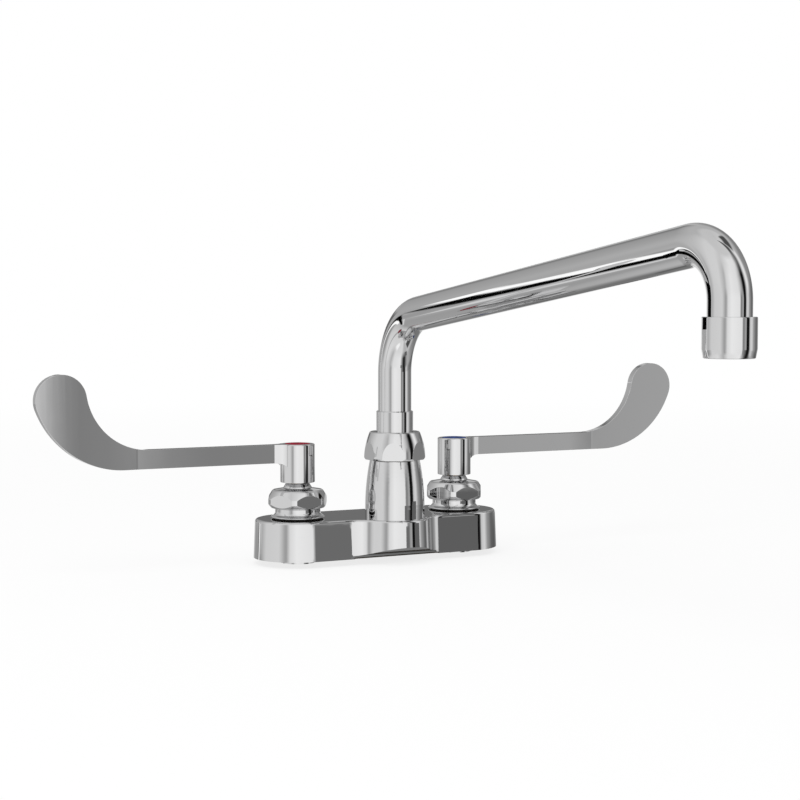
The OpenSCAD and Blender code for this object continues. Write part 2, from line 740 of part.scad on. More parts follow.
// The tube's route, filled out to the radius r. The bends are a hair wider than the straight runs,
// which reach a little way into them
module tube_route(r, over) {
    at_column() {
        translate([0, 0, tube_foot_z - over])
            cylinder(r = r, h = rise_z - lower_run - tube_foot_z + over + run_in);
        translate([0, 0, rise_z - lower_run]) bend(lower_bend_r, lower_turn, r + bend_swell);
        translate([0, 0, rise_z]) rotate([lower_turn, 0, 0]) translate([0, 0, lower_run - run_in])
            cylinder(r = r, h = rise_len + 2 * run_in);
        translate([0, -reach, outlet_corner_z]) rotate([lower_turn, 0, 0]) translate([0, 0, -outlet_run])
            bend(outlet_bend_r, outlet_turn, r + bend_swell);
        translate([0, -reach, tube_end_z - over])
            cylinder(r = r, h = outlet_corner_z - outlet_run - tube_end_z + over + run_in);
    }
}

module spout_tube() {
    color("silver") difference() {
        tube_route(tube_r, 0);
        tube_route(tube_r - tube_wall, cut);
    }
}

// Swivels in the column: collar above the nut, groove for the split ring, plug with two seal grooves
module swivel_sleeve() {
    color("silver") at_column() difference() {
        rotate_extrude() polygon([
            [0, plug_foot_z], [plug_r - bevel, plug_foot_z], [plug_r, plug_foot_z + bevel],
            [plug_r, ring_z - slack], [groove_r, ring_z - slack], [groove_r, ring_top_z + slack],
            [collar_r, ring_top_z + slack], [collar_r, collar_top_z - bevel],
            [collar_r - bevel, collar_top_z], [0, collar_top_z]
        ]);
        translate([0, 0, plug_foot_z - cut]) cylinder(r = sleeve_passage_r, h = collar_top_z);
        translate([0, 0, tube_foot_z - slack]) cylinder(r = tube_r + seat_gap / 2, h = collar_top_z);
        for (i = [0, 1]) seal_groove(plug_r, swivel_groove_r, swivel_seal_r, seal_z + i * seal_pitch);
    }
}

module swivel_o_rings() {
    color("black") at_column() for (i = [0, 1])
        o_ring(swivel_bore_r - seal_gap, swivel_seal_r, seal_z + i * seal_pitch);
}

module split_ring() {
    color("goldenrod") at_column() difference() {
        ring(neck_r - 0.3, groove_r + seat_gap, ring_z, split_ring_t);
        translate([0, neck_r, ring_z + split_ring_t / 2])
            cube([split_gap, neck_r * 2, split_ring_t + 2 * cut], center = true);
    }
}

module slip_washer() {
    color("white") at_column() ring(neck_r - turn_gap, collar_r + turn_gap, slip_washer_z, slip_washer_t);
}

// A hexagon whose corners are turned to a dome, so that each flat ends in a pointed arch
module spout_nut() {
    dome_z = nut_foot_z + 1;
    dome_a = asin((nut_top_z - 0.5 - dome_z) / nut_dome_r);
    color("silver") at_column() difference() {
        intersection() {
            rotate_extrude($fn = 96) polygon(concat(
                [[0, nut_foot_z], [nut_corner_r - 0.6, nut_foot_z]],
                arc(nut_corner_r - nut_dome_r, dome_z, nut_dome_r, 0, dome_a, 12),
                [[nut_corner_r - nut_dome_r * (1 - cos(dome_a)) - 0.6, nut_top_z], [0, nut_top_z]]
            ));
            rotate([0, 0, 30]) cylinder(r = nut_flats / sqrt(3), h = nut_top_z + cut, $fn = 6);
        }
        translate([0, 0, nut_foot_z - cut]) cylinder(r = neck_r + seat_gap, h = lip_z - nut_foot_z + cut);
        cylinder(r = collar_r + turn_gap, h = nut_top_z + cut);
    }
}

module at_outlet() {
    translate([0, -column_forward - reach, 0]) children();
}

module outlet_sleeve() {
    color("silver") at_outlet() difference() {
        rotate_extrude() polygon([
            [0, outlet_z], [outlet_mouth_r - bevel, outlet_z], [outlet_mouth_r, outlet_z + bevel],
            [outlet_r, outlet_z + outlet_taper_h], [outlet_r, outlet_top_z - bevel],
            [outlet_r - bevel, outlet_top_z],
            [0, outlet_top_z]
        ]);
        translate([0, 0, outlet_z - cut]) cylinder(r = mouth_bore_r, h = outlet_len);
        translate([0, 0, screen_z]) cylinder(r = insert_r + seat_gap, h = tube_end_z - screen_z);
        translate([0, 0, tube_end_z - slack]) cylinder(r = tube_r + seat_gap / 2, h = outlet_len);
    }
}

module outlet_washer() {
    color("black") at_outlet() ring(insert_r, tube_r - tube_wall - 1.4, outlet_washer_z, outlet_washer_t);
}

// Round holes in rows, set in a close-packed pattern
module flow_straightener() {
    rows = floor((insert_r - 2) / (straightener_pitch * sqrt(3) / 2));
    color("gainsboro") at_outlet() difference() {
        translate([0, 0, straightener_z]) cylinder(r = insert_r, h = straightener_t);
        for (j = [-rows:rows]) for (i = [-rows:rows])
            let (p = [(i + j / 2) * straightener_pitch, j * straightener_pitch * sqrt(3) / 2])
                if (norm(p) < insert_r - 2) translate([p[0], p[1], straightener_z - cut])
                    cylinder(r = straightener_pitch * 0.38, h = straightener_t + 2 * cut, $fn = 24);
    }
}

module outlet_screen() {
    rows = floor((mouth_bore_r - 1) / screen_pitch);
    color("gainsboro") at_outlet() difference() {
        translate([0, 0, screen_z]) cylinder(r = insert_r, h = screen_t);
        for (j = [-rows:rows]) for (i = [-rows:rows])
            let (p = [i * screen_pitch, j * screen_pitch])
                if (norm(p) < mouth_bore_r - screen_pitch * 0.6) translate([p[0], p[1], screen_z])
                    cube([screen_pitch * 0.7, screen_pitch * 0.7, 4 * screen_t], center = true);
    }
}

body_casting();
bonnet(HOT);  // hot_bonnet
bonnet(COLD);  // cold_bonnet
bonnet_washer(HOT);  // hot_bonnet_washer
bonnet_washer(COLD);  // cold_bonnet_washer
gland_nut(HOT);  // hot_gland_nut
gland_nut(COLD);  // cold_gland_nut
cartridge_sleeve(HOT);  // hot_cartridge_sleeve
cartridge_sleeve(COLD);  // cold_cartridge_sleeve
seat_seal(HOT);  // hot_seat_seal
seat_seal(COLD);  // cold_seat_seal
fixed_disc(HOT);  // hot_fixed_disc
fixed_disc(COLD);  // cold_fixed_disc
moving_disc(HOT);  // hot_moving_disc
moving_disc(COLD);  // cold_moving_disc
stem(HOT);  // hot_stem
stem(COLD);  // cold_stem
stem_o_rings(HOT);  // hot_stem_o_rings
stem_o_rings(COLD);  // cold_stem_o_rings
handle(HOT);  // hot_handle
handle(COLD);  // cold_handle
handle_screw(HOT);  // hot_handle_screw
handle_screw(COLD);  // cold_handle_screw
index_button(HOT);  // hot_index_button
index_button(COLD);  // cold_index_button
spout_tube();
swivel_sleeve();
swivel_o_rings();
split_ring();
slip_washer();
spout_nut();
outlet_sleeve();
outlet_washer();
flow_straightener();
outlet_screen();
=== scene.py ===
import math

import bpy
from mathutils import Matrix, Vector


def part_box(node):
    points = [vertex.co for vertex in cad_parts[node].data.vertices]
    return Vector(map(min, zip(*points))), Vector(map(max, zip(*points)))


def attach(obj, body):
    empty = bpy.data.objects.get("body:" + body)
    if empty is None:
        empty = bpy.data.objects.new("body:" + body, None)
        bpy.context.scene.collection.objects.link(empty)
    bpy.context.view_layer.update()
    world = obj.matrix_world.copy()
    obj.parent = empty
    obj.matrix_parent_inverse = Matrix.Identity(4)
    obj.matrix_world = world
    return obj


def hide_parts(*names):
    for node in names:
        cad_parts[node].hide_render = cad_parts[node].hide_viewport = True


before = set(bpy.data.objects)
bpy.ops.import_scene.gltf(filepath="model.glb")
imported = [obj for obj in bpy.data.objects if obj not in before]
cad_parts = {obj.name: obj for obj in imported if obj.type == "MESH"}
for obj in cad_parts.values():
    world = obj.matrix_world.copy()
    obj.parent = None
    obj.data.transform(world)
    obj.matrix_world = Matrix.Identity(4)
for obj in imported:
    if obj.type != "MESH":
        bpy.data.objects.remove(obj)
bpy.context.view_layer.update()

# The camera stands in front of the faucet and to its left, a little over the handles, and looks
# slightly down, as the photograph was taken.
camera_place = (-0.4556, -0.9135, 0.1452)
camera_heading = math.radians(27.24)
camera_tilt = math.radians(3.21)
bpy.ops.object.camera_add(
    location=camera_place, rotation=(math.radians(90) - camera_tilt, 0, -camera_heading)
)
camera = bpy.context.object
camera.data.sensor_width = 36
camera.data.lens = 79.28
camera.data.clip_start = 0.05
bpy.context.scene.camera = camera
bpy.context.scene.view_settings.view_transform = "Standard"

# The studio's room. Its background is white, and a soft even light comes from all round. That light is
# a little weaker than the white, so that pale things keep their colour.


def linear(hex_code):
    """An sRGB colour such as #C8CACC as the linear RGBA that a socket takes."""
    parts = [int(hex_code[i:i + 2], 16) / 255 for i in (1, 3, 5)]
    return tuple(p / 12.92 if p <= 0.04045 else ((p + 0.055) / 1.055) ** 2.4 for p in parts) + (1,)


def add(tree, kind, links=None, **settings):
    """Adds a node: settings are its own fields, links gives its inputs a value or another socket."""
    made = tree.nodes.new("ShaderNode" + kind)
    for field, value in settings.items():
        setattr(made, field, value)
    for name, value in (links or {}).items():
        if isinstance(value, bpy.types.NodeSocket):
            tree.links.new(value, made.inputs[name])
        else:
            made.inputs[name].default_value = value
    return made


def empty_nodes(owner):
    """Turns on the nodes of a material or of the world, and clears them away."""
    owner.use_nodes = True
    owner.node_tree.nodes.clear()
    return owner.node_tree


def seen_directly(tree):
    """1 for what the camera, a mirror or glass sees, and 0 for the rays that light things."""
    rays = add(tree, "LightPath")
    seen = rays.outputs["Is Camera Ray"]
    for kind in ("Is Glossy Ray", "Is Transmission Ray"):
        seen = add(tree, "Math", {0: seen, 1: rays.outputs[kind]}, operation="MAXIMUM").outputs[0]
    return seen


world = bpy.data.worlds.new("studio")
bpy.context.scene.world = world
tree = empty_nodes(world)
even_light = 0.8
level = add(
    tree, "Math", {0: seen_directly(tree), 1: 1 - even_light, 2: even_light}, operation="MULTIPLY_ADD")
sky = add(tree, "Background", {"Color": linear("#FFFFFF"), "Strength": level.outputs[0]})
add(tree, "OutputWorld", {"Surface": sky.outputs[0]})

# The studio's floor, a pale sheet just under the inlet stubs. It keeps the faucet's soft shadow, and
# turns white further out, where a real sheet would run up into the backdrop.
paper_gap, paper_r, shadow_r, white_r = 0.0005, 8, 0.35, 1.6
floor_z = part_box("body_casting")[0].z - paper_gap
bpy.ops.object.select_all(action="DESELECT")
bpy.ops.mesh.primitive_circle_add(
    vertices=96, radius=paper_r, fill_type="NGON", location=(0, 0, floor_z))
floor = bpy.context.object
floor.name = "floor"
paper = bpy.data.materials.new("white studio paper")
tree = empty_nodes(paper)
place = add(tree, "TexCoord").outputs["Object"]
away = add(tree, "VectorMath", {0: place}, operation="LENGTH")
whiter = add(tree, "MapRange", {
    "Value": away.outputs["Value"], "From Min": shadow_r, "From Max": white_r,
    "To Min": 0.8, "To Max": 1.0})
share = add(tree, "Math", {0: seen_directly(tree), 1: whiter.outputs[0]}, operation="MULTIPLY")
matt = add(tree, "BsdfDiffuse", {"Color": linear("#F6F6F6")})
white = add(tree, "Emission", {"Color": linear("#FFFFFF"), "Strength": 1.0})
mixed = add(tree, "MixShader", {0: share.outputs[0], 1: matt.outputs[0], 2: white.outputs[0]})
add(tree, "OutputMaterial", {"Surface": mixed.outputs[0]})
floor.data.materials.append(paper)
floor.visible_glossy = False

# The studio's light tent: white and grey cloth panels in rows, with black flags between them, all
# round the faucet. Only the chrome shows it. Each panel is (degrees, grey), with degrees seen from
# above, from the camera's side to its right.
tent_r = 12
# the chrome gives back this share of the light, so the cloth shines as much brighter than its greys
chrome_level = 0.65
below_row = [
    (-180, "#C8C8C8"), (40, "#D6D6D6"), (60, "#B4B4B4"), (80, "#ACACAC"), (100, "#CACACA"),
    (180, "#C8C8C8"),
]
bench_row = [
    (-180, "#6A6A6A"), (-160, "#9A9A9A"), (-130, "#969696"), (-100, "#CACACA"), (-60, "#D6D6D6"),
    (-45, "#C0C0C0"), (-35, "#ACACAC"), (-15, "#DADADA"), (36, "#E4E4E4"), (45, "#AAAAAA"),
    (55, "#585858"), (61, "#202020"), (69, "#141414"), (76, "#585858"), (90, "#A0A0A0"),
    (102, "#A6A6A6"), (125, "#888888"), (155, "#707070"), (180, "#6A6A6A"),
]
low_row = [
    (-180, "#A8A8A8"), (-171, "#D0D0D0"), (-150, "#9C9C9C"), (-140, "#8C8C8C"), (-126, "#909090"),
    (-120, "#A0A0A0"), (-110, "#888888"), (-100, "#9C9C9C"), (-92, "#B8B8B8"), (-85, "#CCCCCC"),
    (-45, "#CACACA"), (-38, "#B4B4B4"), (-28, "#969696"), (-17, "#D6D6D6"), (0, "#E6E6E6"),
    (42, "#DCDCDC"), (45, "#888888"), (52, "#747474"), (60, "#4C4C4C"), (63, "#181818"),
    (72, "#101010"), (76, "#505050"), (82, "#C0C0C0"), (90, "#C0C0C0"), (96, "#A0A0A0"),
    (110, "#787878"), (122, "#5C5C5C"), (140, "#525252"), (155, "#6C6C6C"), (170, "#A0A0A0"),
    (180, "#A8A8A8"),
]
middle_row = [
    (-180, "#B4B4B4"), (-171, "#DCDCDC"), (-150, "#9C9C9C"), (-126, "#A0A0A0"), (-116, "#A4A4A4"),
    (-111, "#B8B8B8"), (-105, "#A8A8A8"), (-88, "#C8C8C8"), (-47, "#CCCCCC"), (-40, "#BCBCBC"),
    (-32, "#A0A0A0"), (-27, "#989898"), (-22, "#B8B8B8"), (-17, "#D6D6D6"), (0, "#E6E6E6"),
    (42, "#DEDEDE"), (44, "#A4A4A4"), (47, "#7A7A7A"), (51, "#7E7E7E"), (55, "#989898"),
    (61.2, "#9E9E9E"), (62.6, "#101010"), (73, "#0C0C0C"), (76, "#484848"), (80, "#C0C0C0"),
    (91, "#D0D0D0"), (103, "#909090"), (112, "#808080"), (122, "#606060"), (134, "#606060"),
    (155, "#989898"), (171, "#D0D0D0"),
]
high_row = [
    (-180, "#ACACAC"), (-172, "#686868"), (-160, "#909090"), (-135, "#9E9E9E"), (-115, "#B0B0B0"),
    (-85, "#CCCCCC"), (-55, "#CECECE"), (-30, "#ACACAC"), (-20, "#D0D0D0"), (0, "#E2E2E2"),
    (34, "#DADADA"), (42, "#C8C8C8"), (50, "#ACACAC"), (57, "#888888"), (62, "#303030"),
    (66, "#0C0C0C"), (74, "#0C0C0C"), (78, "#606060"), (85, "#C4C4C4"), (94, "#E6E6E6"),
    (102, "#C8C8C8"), (111, "#8B8B8B"), (134, "#7D7D7D"), (155, "#737373"), (170, "#888888"),
    (180, "#ACACAC"),
]
crown_row = [
    (-180, "#A8A8A8"), (-120, "#AEAEAE"), (-90, "#CACACA"), (-60, "#CDCDCD"), (-35, "#C1C1C1"),
    (10, "#DEDEDE"), (45, "#DBDBDB"), (55, "#C3C3C3"), (62, "#949494"), (75, "#626262"),
    (81, "#787878"), (90, "#CBCBCB"), (97, "#E0E0E0"), (110, "#B0B0B0"), (140, "#B0B0B0"),
    (180, "#A8A8A8"),
]
roof_row = [
    (-180, "#BCBCBC"), (60, "#C4C4C4"), (68, "#505050"), (86, "#505050"), (94, "#C8C8C8"),
    (180, "#BCBCBC"),
]
bpy.ops.object.select_all(action="DESELECT")
bpy.ops.mesh.primitive_uv_sphere_add(segments=64, ring_count=32, radius=tent_r)
tent = bpy.context.object
tent.name = "tent"
cloth = bpy.data.materials.new("tent cloth")
tree = empty_nodes(cloth)
place = add(tree, "TexCoord").outputs["Object"]
to_camera = math.radians(90) + camera_heading
turned = add(tree, "Mapping", {
    "Vector": place, "Rotation": (0, 0, to_camera), "Scale": (1 / tent_r,) * 3})
axes = add(tree, "SeparateXYZ", {0: turned.outputs[0]})
bearing = add(tree, "Math", {0: axes.outputs["Y"], 1: axes.outputs["X"]}, operation="ARCTAN2")
along = add(tree, "MapRange", {
    "Value": bearing.outputs[0], "From Min": -math.pi, "From Max": math.pi})
height = add(tree, "Math", {0: axes.outputs["Z"]}, operation="ARCSINE")
height = add(tree, "Math", {0: height.outputs[0]}, operation="DEGREES")
bearing = add(tree, "Math", {0: bearing.outputs[0]}, operation="DEGREES")


def panels(stops):
    """One row of cloth panels, as a ramp over the bearing."""
    ramp = add(tree, "ValToRGB", {"Fac": along.outputs[0]})
    marks = ramp.color_ramp.elements
    while len(marks) < len(stops):
        marks.new(0.5)
    angles, greys = zip(*stops)
    for mark, angle_at in zip(marks, angles):
        mark.position = (angle_at + 180) / 360
    for mark, grey in zip(marks, greys):
        mark.color = linear(grey)
    return ramp.outputs[0]


def laid_over(under, over, share):
    """The tent's colour with another laid over it, as far as share says."""
    mix = add(tree, "Mix", {0: share}, data_type="RGBA")
    for socket, colour in ((mix.inputs[6], under), (mix.inputs[7], over)):
        if isinstance(colour, bpy.types.NodeSocket):
            tree.links.new(colour, socket)
        else:
            socket.default_value = linear(colour)
    return mix.outputs[2]


def card(under, centre, half_width, low, high, grey, lean, edge):
    """A card hung in the tent: its middle bearing, half its width, and its lower and upper edge, in
    degrees. A leaning card's middle moves by lean for each degree of height, and edge is half the
    width of its soft border."""
    middle = add(tree, "Math", {0: height.outputs[0], 1: lean, 2: -centre}, operation="MULTIPLY_ADD")
    aside = add(tree, "Math", {0: bearing.outputs[0], 1: middle.outputs[0]}, operation="ADD")
    aside = add(tree, "Math", {0: aside.outputs[0], 1: 180, 2: -180}, operation="WRAP")
    aside = add(tree, "Math", {0: aside.outputs[0]}, operation="ABSOLUTE")
    across = add(tree, "MapRange", {
        "Value": aside.outputs[0], "From Min": half_width + edge, "From Max": half_width - edge})
    above = add(tree, "MapRange", {
        "Value": height.outputs[0], "From Min": low - edge, "From Max": low + edge})
    below = add(tree, "MapRange", {
        "Value": height.outputs[0], "From Min": high + edge, "From Max": high - edge})
    mask = add(tree, "Math", {0: across.outputs[0], 1: above.outputs[0]}, operation="MULTIPLY")
    mask = add(tree, "Math", {0: mask.outputs[0], 1: below.outputs[0]}, operation="MULTIPLY")
    return laid_over(under, grey, mask.outputs[0])


# the rows, each fading into the one above it between two heights
view = panels(below_row)
for row, low, high in (
        (bench_row, -55, -38), (low_row, -18, -12), (middle_row, -6.0, -5.2), (high_row, 6, 16),
        (crown_row, 32, 48), (roof_row, 56, 64)):
    rise = add(tree, "MapRange", {"Value": height.outputs[0], "From Min": low, "From Max": high})
    view = laid_over(view, panels(row), rise.outputs[0])
# the cards: one low behind the faucet for the flat tops, two for the handles' rims, one bright on the
# floor at the left, and six slim ones that line the spout, a pale one, two white and three black
for middle, half, low, high, grey, lean, edge in (
        (180, 40, 3, 11, "#606060", 0, 1.5),
        (117, 22, 53, 73, "#484848", 0, 3),
        (117, 22, -73, -53, "#484848", 0, 3),
        (-27, 14, -72, -54, "#F0F0F0", 0, 4),
        (-124.2, 1.4, -34, -17, "#CCCCCC", 0, 0.5),
        (-121.1, 1.4, -4, 9, "#FCFCFC", 0.6, 0.4),
        (-119.3, 1.8, -21, -4, "#FCFCFC", 0.21, 0.4),
        (-123.6, 1.4, -10, 2, "#040404", 0.29, 0.3),
        (-122.5, 1.85, -21, -8, "#040404", 0.175, 0.3),
        (-119.2, 2.2, -31, -20, "#040404", 0, 0.3)):
    view = card(view, middle, half, low, high, grey, lean, edge)
glow = add(tree, "Emission", {"Color": view, "Strength": 1 / chrome_level})
add(tree, "OutputMaterial", {"Surface": glow.outputs[0]})
tent.data.materials.append(cloth)
tent.visible_camera = False
tent.visible_diffuse = False
tent.visible_shadow = False

# The studio's near cards. Two grey ones stand low to the front and right, one for each valve: the
# base's flat sides and the bonnets' front facets show them. Two small black ones hang behind the
# outlet and line its bend. Each has its place and size in metres, and its heading and tilt in degrees.
for side, spot, (wide, tall), heading, tilt, grey in (
        ("hot", (0.116, -0.3988, -0.026), (0.078, 0.048), 17.8, 0, "#686868"),
        ("cold", (0.0895, -0.0985, 0.0055), (0.042, 0.037), 32, 0, "#5C5C5C"),
        ("outlet", (-0.0183, -0.3035, 0.1425), (0.015, 0.019), 21.8, 0, "#040404"),
        ("bend", (-0.0265, -0.283, 0.1553), (0.024, 0.005), 0, -14.4, "#040404")):
    bpy.ops.object.select_all(action="DESELECT")
    bpy.ops.mesh.primitive_plane_add(
        size=1, location=spot, rotation=tuple(math.radians(turn) for turn in (90, tilt, heading)))
    near_card = bpy.context.object
    near_card.name = side + "_low_card"
    near_card.scale = (wide, tall, 1)
    board = bpy.data.materials.new("painted card, " + side)
    tree = empty_nodes(board)
    glow = add(tree, "Emission", {"Color": linear(grey), "Strength": 1 / chrome_level})
    add(tree, "OutputMaterial", {"Surface": glow.outputs[0]})
    near_card.data.materials.append(board)
    near_card.visible_camera = False
    near_card.visible_diffuse = False
    near_card.visible_shadow = False

# The studio's lamp: one soft box high on the left, turned to the faucet. It gives the floor its
# shadow, and the chrome doesn't show it.
lamp_place = Vector((-0.9, -0.8, 1.6))
bpy.ops.object.light_add(type="AREA", location=lamp_place)
lamp = bpy.context.object
lamp.data.size = 1.2
lamp.data.energy = 12
lamp.rotation_euler = (-lamp_place).to_track_quat("-Z", "Y").to_euler()
lamp.visible_glossy = False

# Base casting: one sand-cast brass body with the column, the two valve seats and the inlet stubs. It
# is ground, buffed and chrome plated outside, and stays raw inside the hollow that opens under the
# front edge, where its near-black colour is painted shade.
mm = 0.001
# what the plating gives back of red, green and blue: chrome is a trace bluer than neutral
plated = (chrome_level, chrome_level, chrome_level * 1.004, 1)


def new_material(name):
    """A new material, with its nodes, its shader and the coordinates that lie still on the piece."""
    made = bpy.data.materials.new(name)
    made.use_nodes = True
    tree = made.node_tree
    return made, tree, tree.nodes["Principled BSDF"], add(tree, "TexCoord").outputs["Object"]


def bright_metal(name, level, waves, wave_depth, smooth, hazy, lathe_marks=0.0):
    """A polished metal. level is its reflectance; waves (mm in x, y and z) and wave_depth (mm) are the
    slow unevenness that buffing leaves, smooth and hazy the least and most roughness of its patches,
    and lathe_marks (mm) the depth of fine turning lines round an upright axis."""
    metal, tree, skin, place = new_material(name)
    skin.inputs["Base Color"].default_value = level
    skin.inputs["Metallic"].default_value = 1
    patch = 14 * mm
    patches = add(tree, "TexNoise", {"Vector": place, "Scale": 1 / patch, "Detail": 3})
    haze = add(tree, "MapRange", {
        "Value": patches.outputs[0], "From Min": 0.35, "From Max": 0.7,
        "To Min": smooth, "To Max": hazy})
    tree.links.new(haze.outputs[0], skin.inputs["Roughness"])
    stretched = add(tree, "Mapping", {
        "Vector": place, "Scale": tuple(1 / (size * mm) for size in waves)})
    uneven = add(tree, "TexNoise", {"Vector": stretched.outputs[0], "Scale": 1, "Detail": 1})
    relief = add(tree, "Bump", {"Height": uneven.outputs[0], "Distance": wave_depth * mm, "Strength": 1})
    if lathe_marks:
        # real turning lines are about 0.1 mm apart; 0.5 mm is the finest that the render shows. The
        # wave texture turns by 20 for each unit of its scale.
        pitch, wave_factor = 0.5 * mm, 20
        lines = add(tree, "TexWave", {
            "Vector": place, "Scale": 2 * math.pi / (wave_factor * pitch), "Distortion": 0.4},
            bands_direction="Z")
        relief = add(tree, "Bump", {
            "Height": lines.outputs["Fac"], "Distance": lathe_marks * mm, "Strength": 1,
            "Normal": relief.outputs[0]})
    tree.links.new(relief.outputs[0], skin.inputs["Normal"])
    return metal


def dress(names, material):
    """Gives CAD nodes their material, and leaves their meshes alone."""
    for name in names:
        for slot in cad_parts[name].material_slots:
            slot.material = material


# Mirror-bright chrome over buffed brass: crisp reflections that swim a little, as hand buffing leaves
cast_chrome = bright_metal(
    "chrome plate on buffed brass casting", plated,
    waves=(9, 9, 9), wave_depth=0.010, smooth=0.02, hazy=0.05)
# The raw casting inside is grainy and hardly shines, and is painted near black as shade. It is the
# part of the surface that lies behind the gap under the front edge, and all that faces straight down.
gap_half, gap_top, gap_front, sand_grain, sand_depth = 27.2, 0.7, -20, 0.8, 0.2
tree = cast_chrome.node_tree
skin = tree.nodes["Principled BSDF"]
place = add(tree, "TexCoord").outputs["Object"]
spot = add(tree, "SeparateXYZ", {0: place})
sideways = add(tree, "Math", {0: spot.outputs["X"]}, operation="ABSOLUTE")
facing = add(tree, "NewGeometry")
facing = add(tree, "SeparateXYZ", {0: facing.outputs["Normal"]})
# the mask of painted shade: the casting low down behind the front gap, and every face pointing down
in_gap = add(tree, "Math", {0: sideways.outputs[0], 1: gap_half * mm}, operation="LESS_THAN")
low_down = add(tree, "Math", {0: spot.outputs["Z"], 1: gap_top * mm}, operation="LESS_THAN")
in_front = add(tree, "Math", {0: spot.outputs["Y"], 1: gap_front * mm}, operation="LESS_THAN")
raw_and_painted_shade = add(tree, "Math", {0: in_gap.outputs[0], 1: low_down.outputs[0]}, operation="MULTIPLY")
raw_and_painted_shade = add(tree, "Math", {0: raw_and_painted_shade.outputs[0], 1: in_front.outputs[0]}, operation="MULTIPLY")
# faces pointing straight down get the painted shade as well, also on the bonnets and spout nut that
# share this chrome
under = add(tree, "Math", {0: facing.outputs["Z"], 1: -0.99}, operation="LESS_THAN")
raw_and_painted_shade = add(tree, "Math", {0: raw_and_painted_shade.outputs[0], 1: under.outputs[0]}, operation="MAXIMUM")
grains = add(tree, "TexNoise", {"Vector": place, "Scale": 1 / (sand_grain * mm), "Detail": 4})
sand_and_painted_shade = add(tree, "ValToRGB", {"Fac": grains.outputs[0]})
# painted shade: these near-black sand colours stand for the shade in the gap and under the casting
sand_and_painted_shade.color_ramp.elements[0].color = linear("#15120E")
sand_and_painted_shade.color_ramp.elements[1].color = linear("#4A4033")
colour = add(tree, "Mix", {0: raw_and_painted_shade.outputs[0], 6: plated}, data_type="RGBA")
tree.links.new(sand_and_painted_shade.outputs[0], colour.inputs[7])
tree.links.new(colour.outputs[2], skin.inputs["Base Color"])
haze = skin.inputs["Roughness"].links[0].from_socket
rough = add(tree, "Mix", {0: raw_and_painted_shade.outputs[0], 3: 0.75}, data_type="FLOAT")
tree.links.new(haze, rough.inputs[2])
tree.links.new(rough.outputs[0], skin.inputs["Roughness"])
shine = add(tree, "Math", {0: 1.0, 1: raw_and_painted_shade.outputs[0]}, operation="SUBTRACT")
tree.links.new(shine.outputs[0], skin.inputs["Metallic"])
grit = add(tree, "Math", {0: raw_and_painted_shade.outputs[0], 1: sand_depth * mm}, operation="MULTIPLY")
relief = add(tree, "Bump", {
    "Height": grains.outputs[0], "Distance": grit.outputs[0], "Strength": 1,
    "Normal": skin.inputs["Normal"].links[0].from_socket})
tree.links.new(relief.outputs[0], skin.inputs["Normal"])
dress(["body_casting"], cast_chrome)

# Bonnet washers: pressed vulcanised fibre rings that seal each bonnet on its seat. They stand out from
# under the foot as one thin dark line.
# Vulcanised fibre: near black and dull, with the faint flat layers of the paper that it is made from
fibre, tree, skin, place = new_material("black vulcanised fibre")
strand, layer = 1.5 * mm, 0.15 * mm
layers = add(tree, "Mapping", {"Vector": place, "Scale": (1 / strand, 1 / strand, 1 / layer)})
strands = add(tree, "TexNoise", {"Vector": layers.outputs[0], "Scale": 1, "Detail": 4})
tint = add(tree, "ValToRGB", {"Fac": strands.outputs[0]})
tint.color_ramp.elements[0].color = linear("#161514")
tint.color_ramp.elements[1].color = linear("#38342F")
tree.links.new(tint.outputs[0], skin.inputs["Base Color"])
skin.inputs["Roughness"].default_value = 0.7
relief = add(tree, "Bump", {"Height": strands.outputs[0], "Distance": 0.03 * mm, "Strength": 1})
tree.links.new(relief.outputs[0], skin.inputs["Normal"])
dress(["hot_bonnet_washer", "cold_bonnet_washer"], fibre)

# Bonnets: hexagonal nuts turned and milled from brass bar, with a flared foot on the washer and a dome
# round the gland nut. They screw down over the cartridges, and are chrome plated.
valve_x, bonnet_flats = 50.8, 31.8
cartridge_r, cartridge_top, stem_hole_r, gland_r, gland_foot = 10.08, 33.08, 5.2, 7.08, 34.88
neck_r, neck_foot, flare_r, flare_foot, flare_top = 12.4, 16.6, 15.3, 22.7, 26.1
waist_r, waist_top, corner_r, flats_foot, flats_top = 12.9, 27.9, 17.5, 30.7, 33.6
chamfer_r, shoulder_z, crown_r, bonnet_top = 15.2, 36.3, 8.8, 39.4
flare_curve, shoulder_curve = 2.6, 2.4


def arc(r, z, radius, start, end, steps):
    """Points (r, z) on an arc of a turned profile, with its angles in degrees."""
    turns = [math.radians(start + (end - start) * i / steps) for i in range(steps + 1)]
    return [(r + radius * math.cos(a), z + radius * math.sin(a)) for a in turns]


def edit(piece, kind="VERT"):
    """Opens one piece for editing, with all of it selected."""
    if bpy.context.object and bpy.context.object.mode == "EDIT":
        bpy.ops.object.mode_set(mode="OBJECT")
    bpy.ops.object.select_all(action="DESELECT")
    piece.select_set(True)
    bpy.context.view_layer.objects.active = piece
    bpy.ops.object.mode_set(mode="EDIT")
    bpy.ops.mesh.select_mode(type=kind)
    bpy.ops.mesh.select_all(action="SELECT")


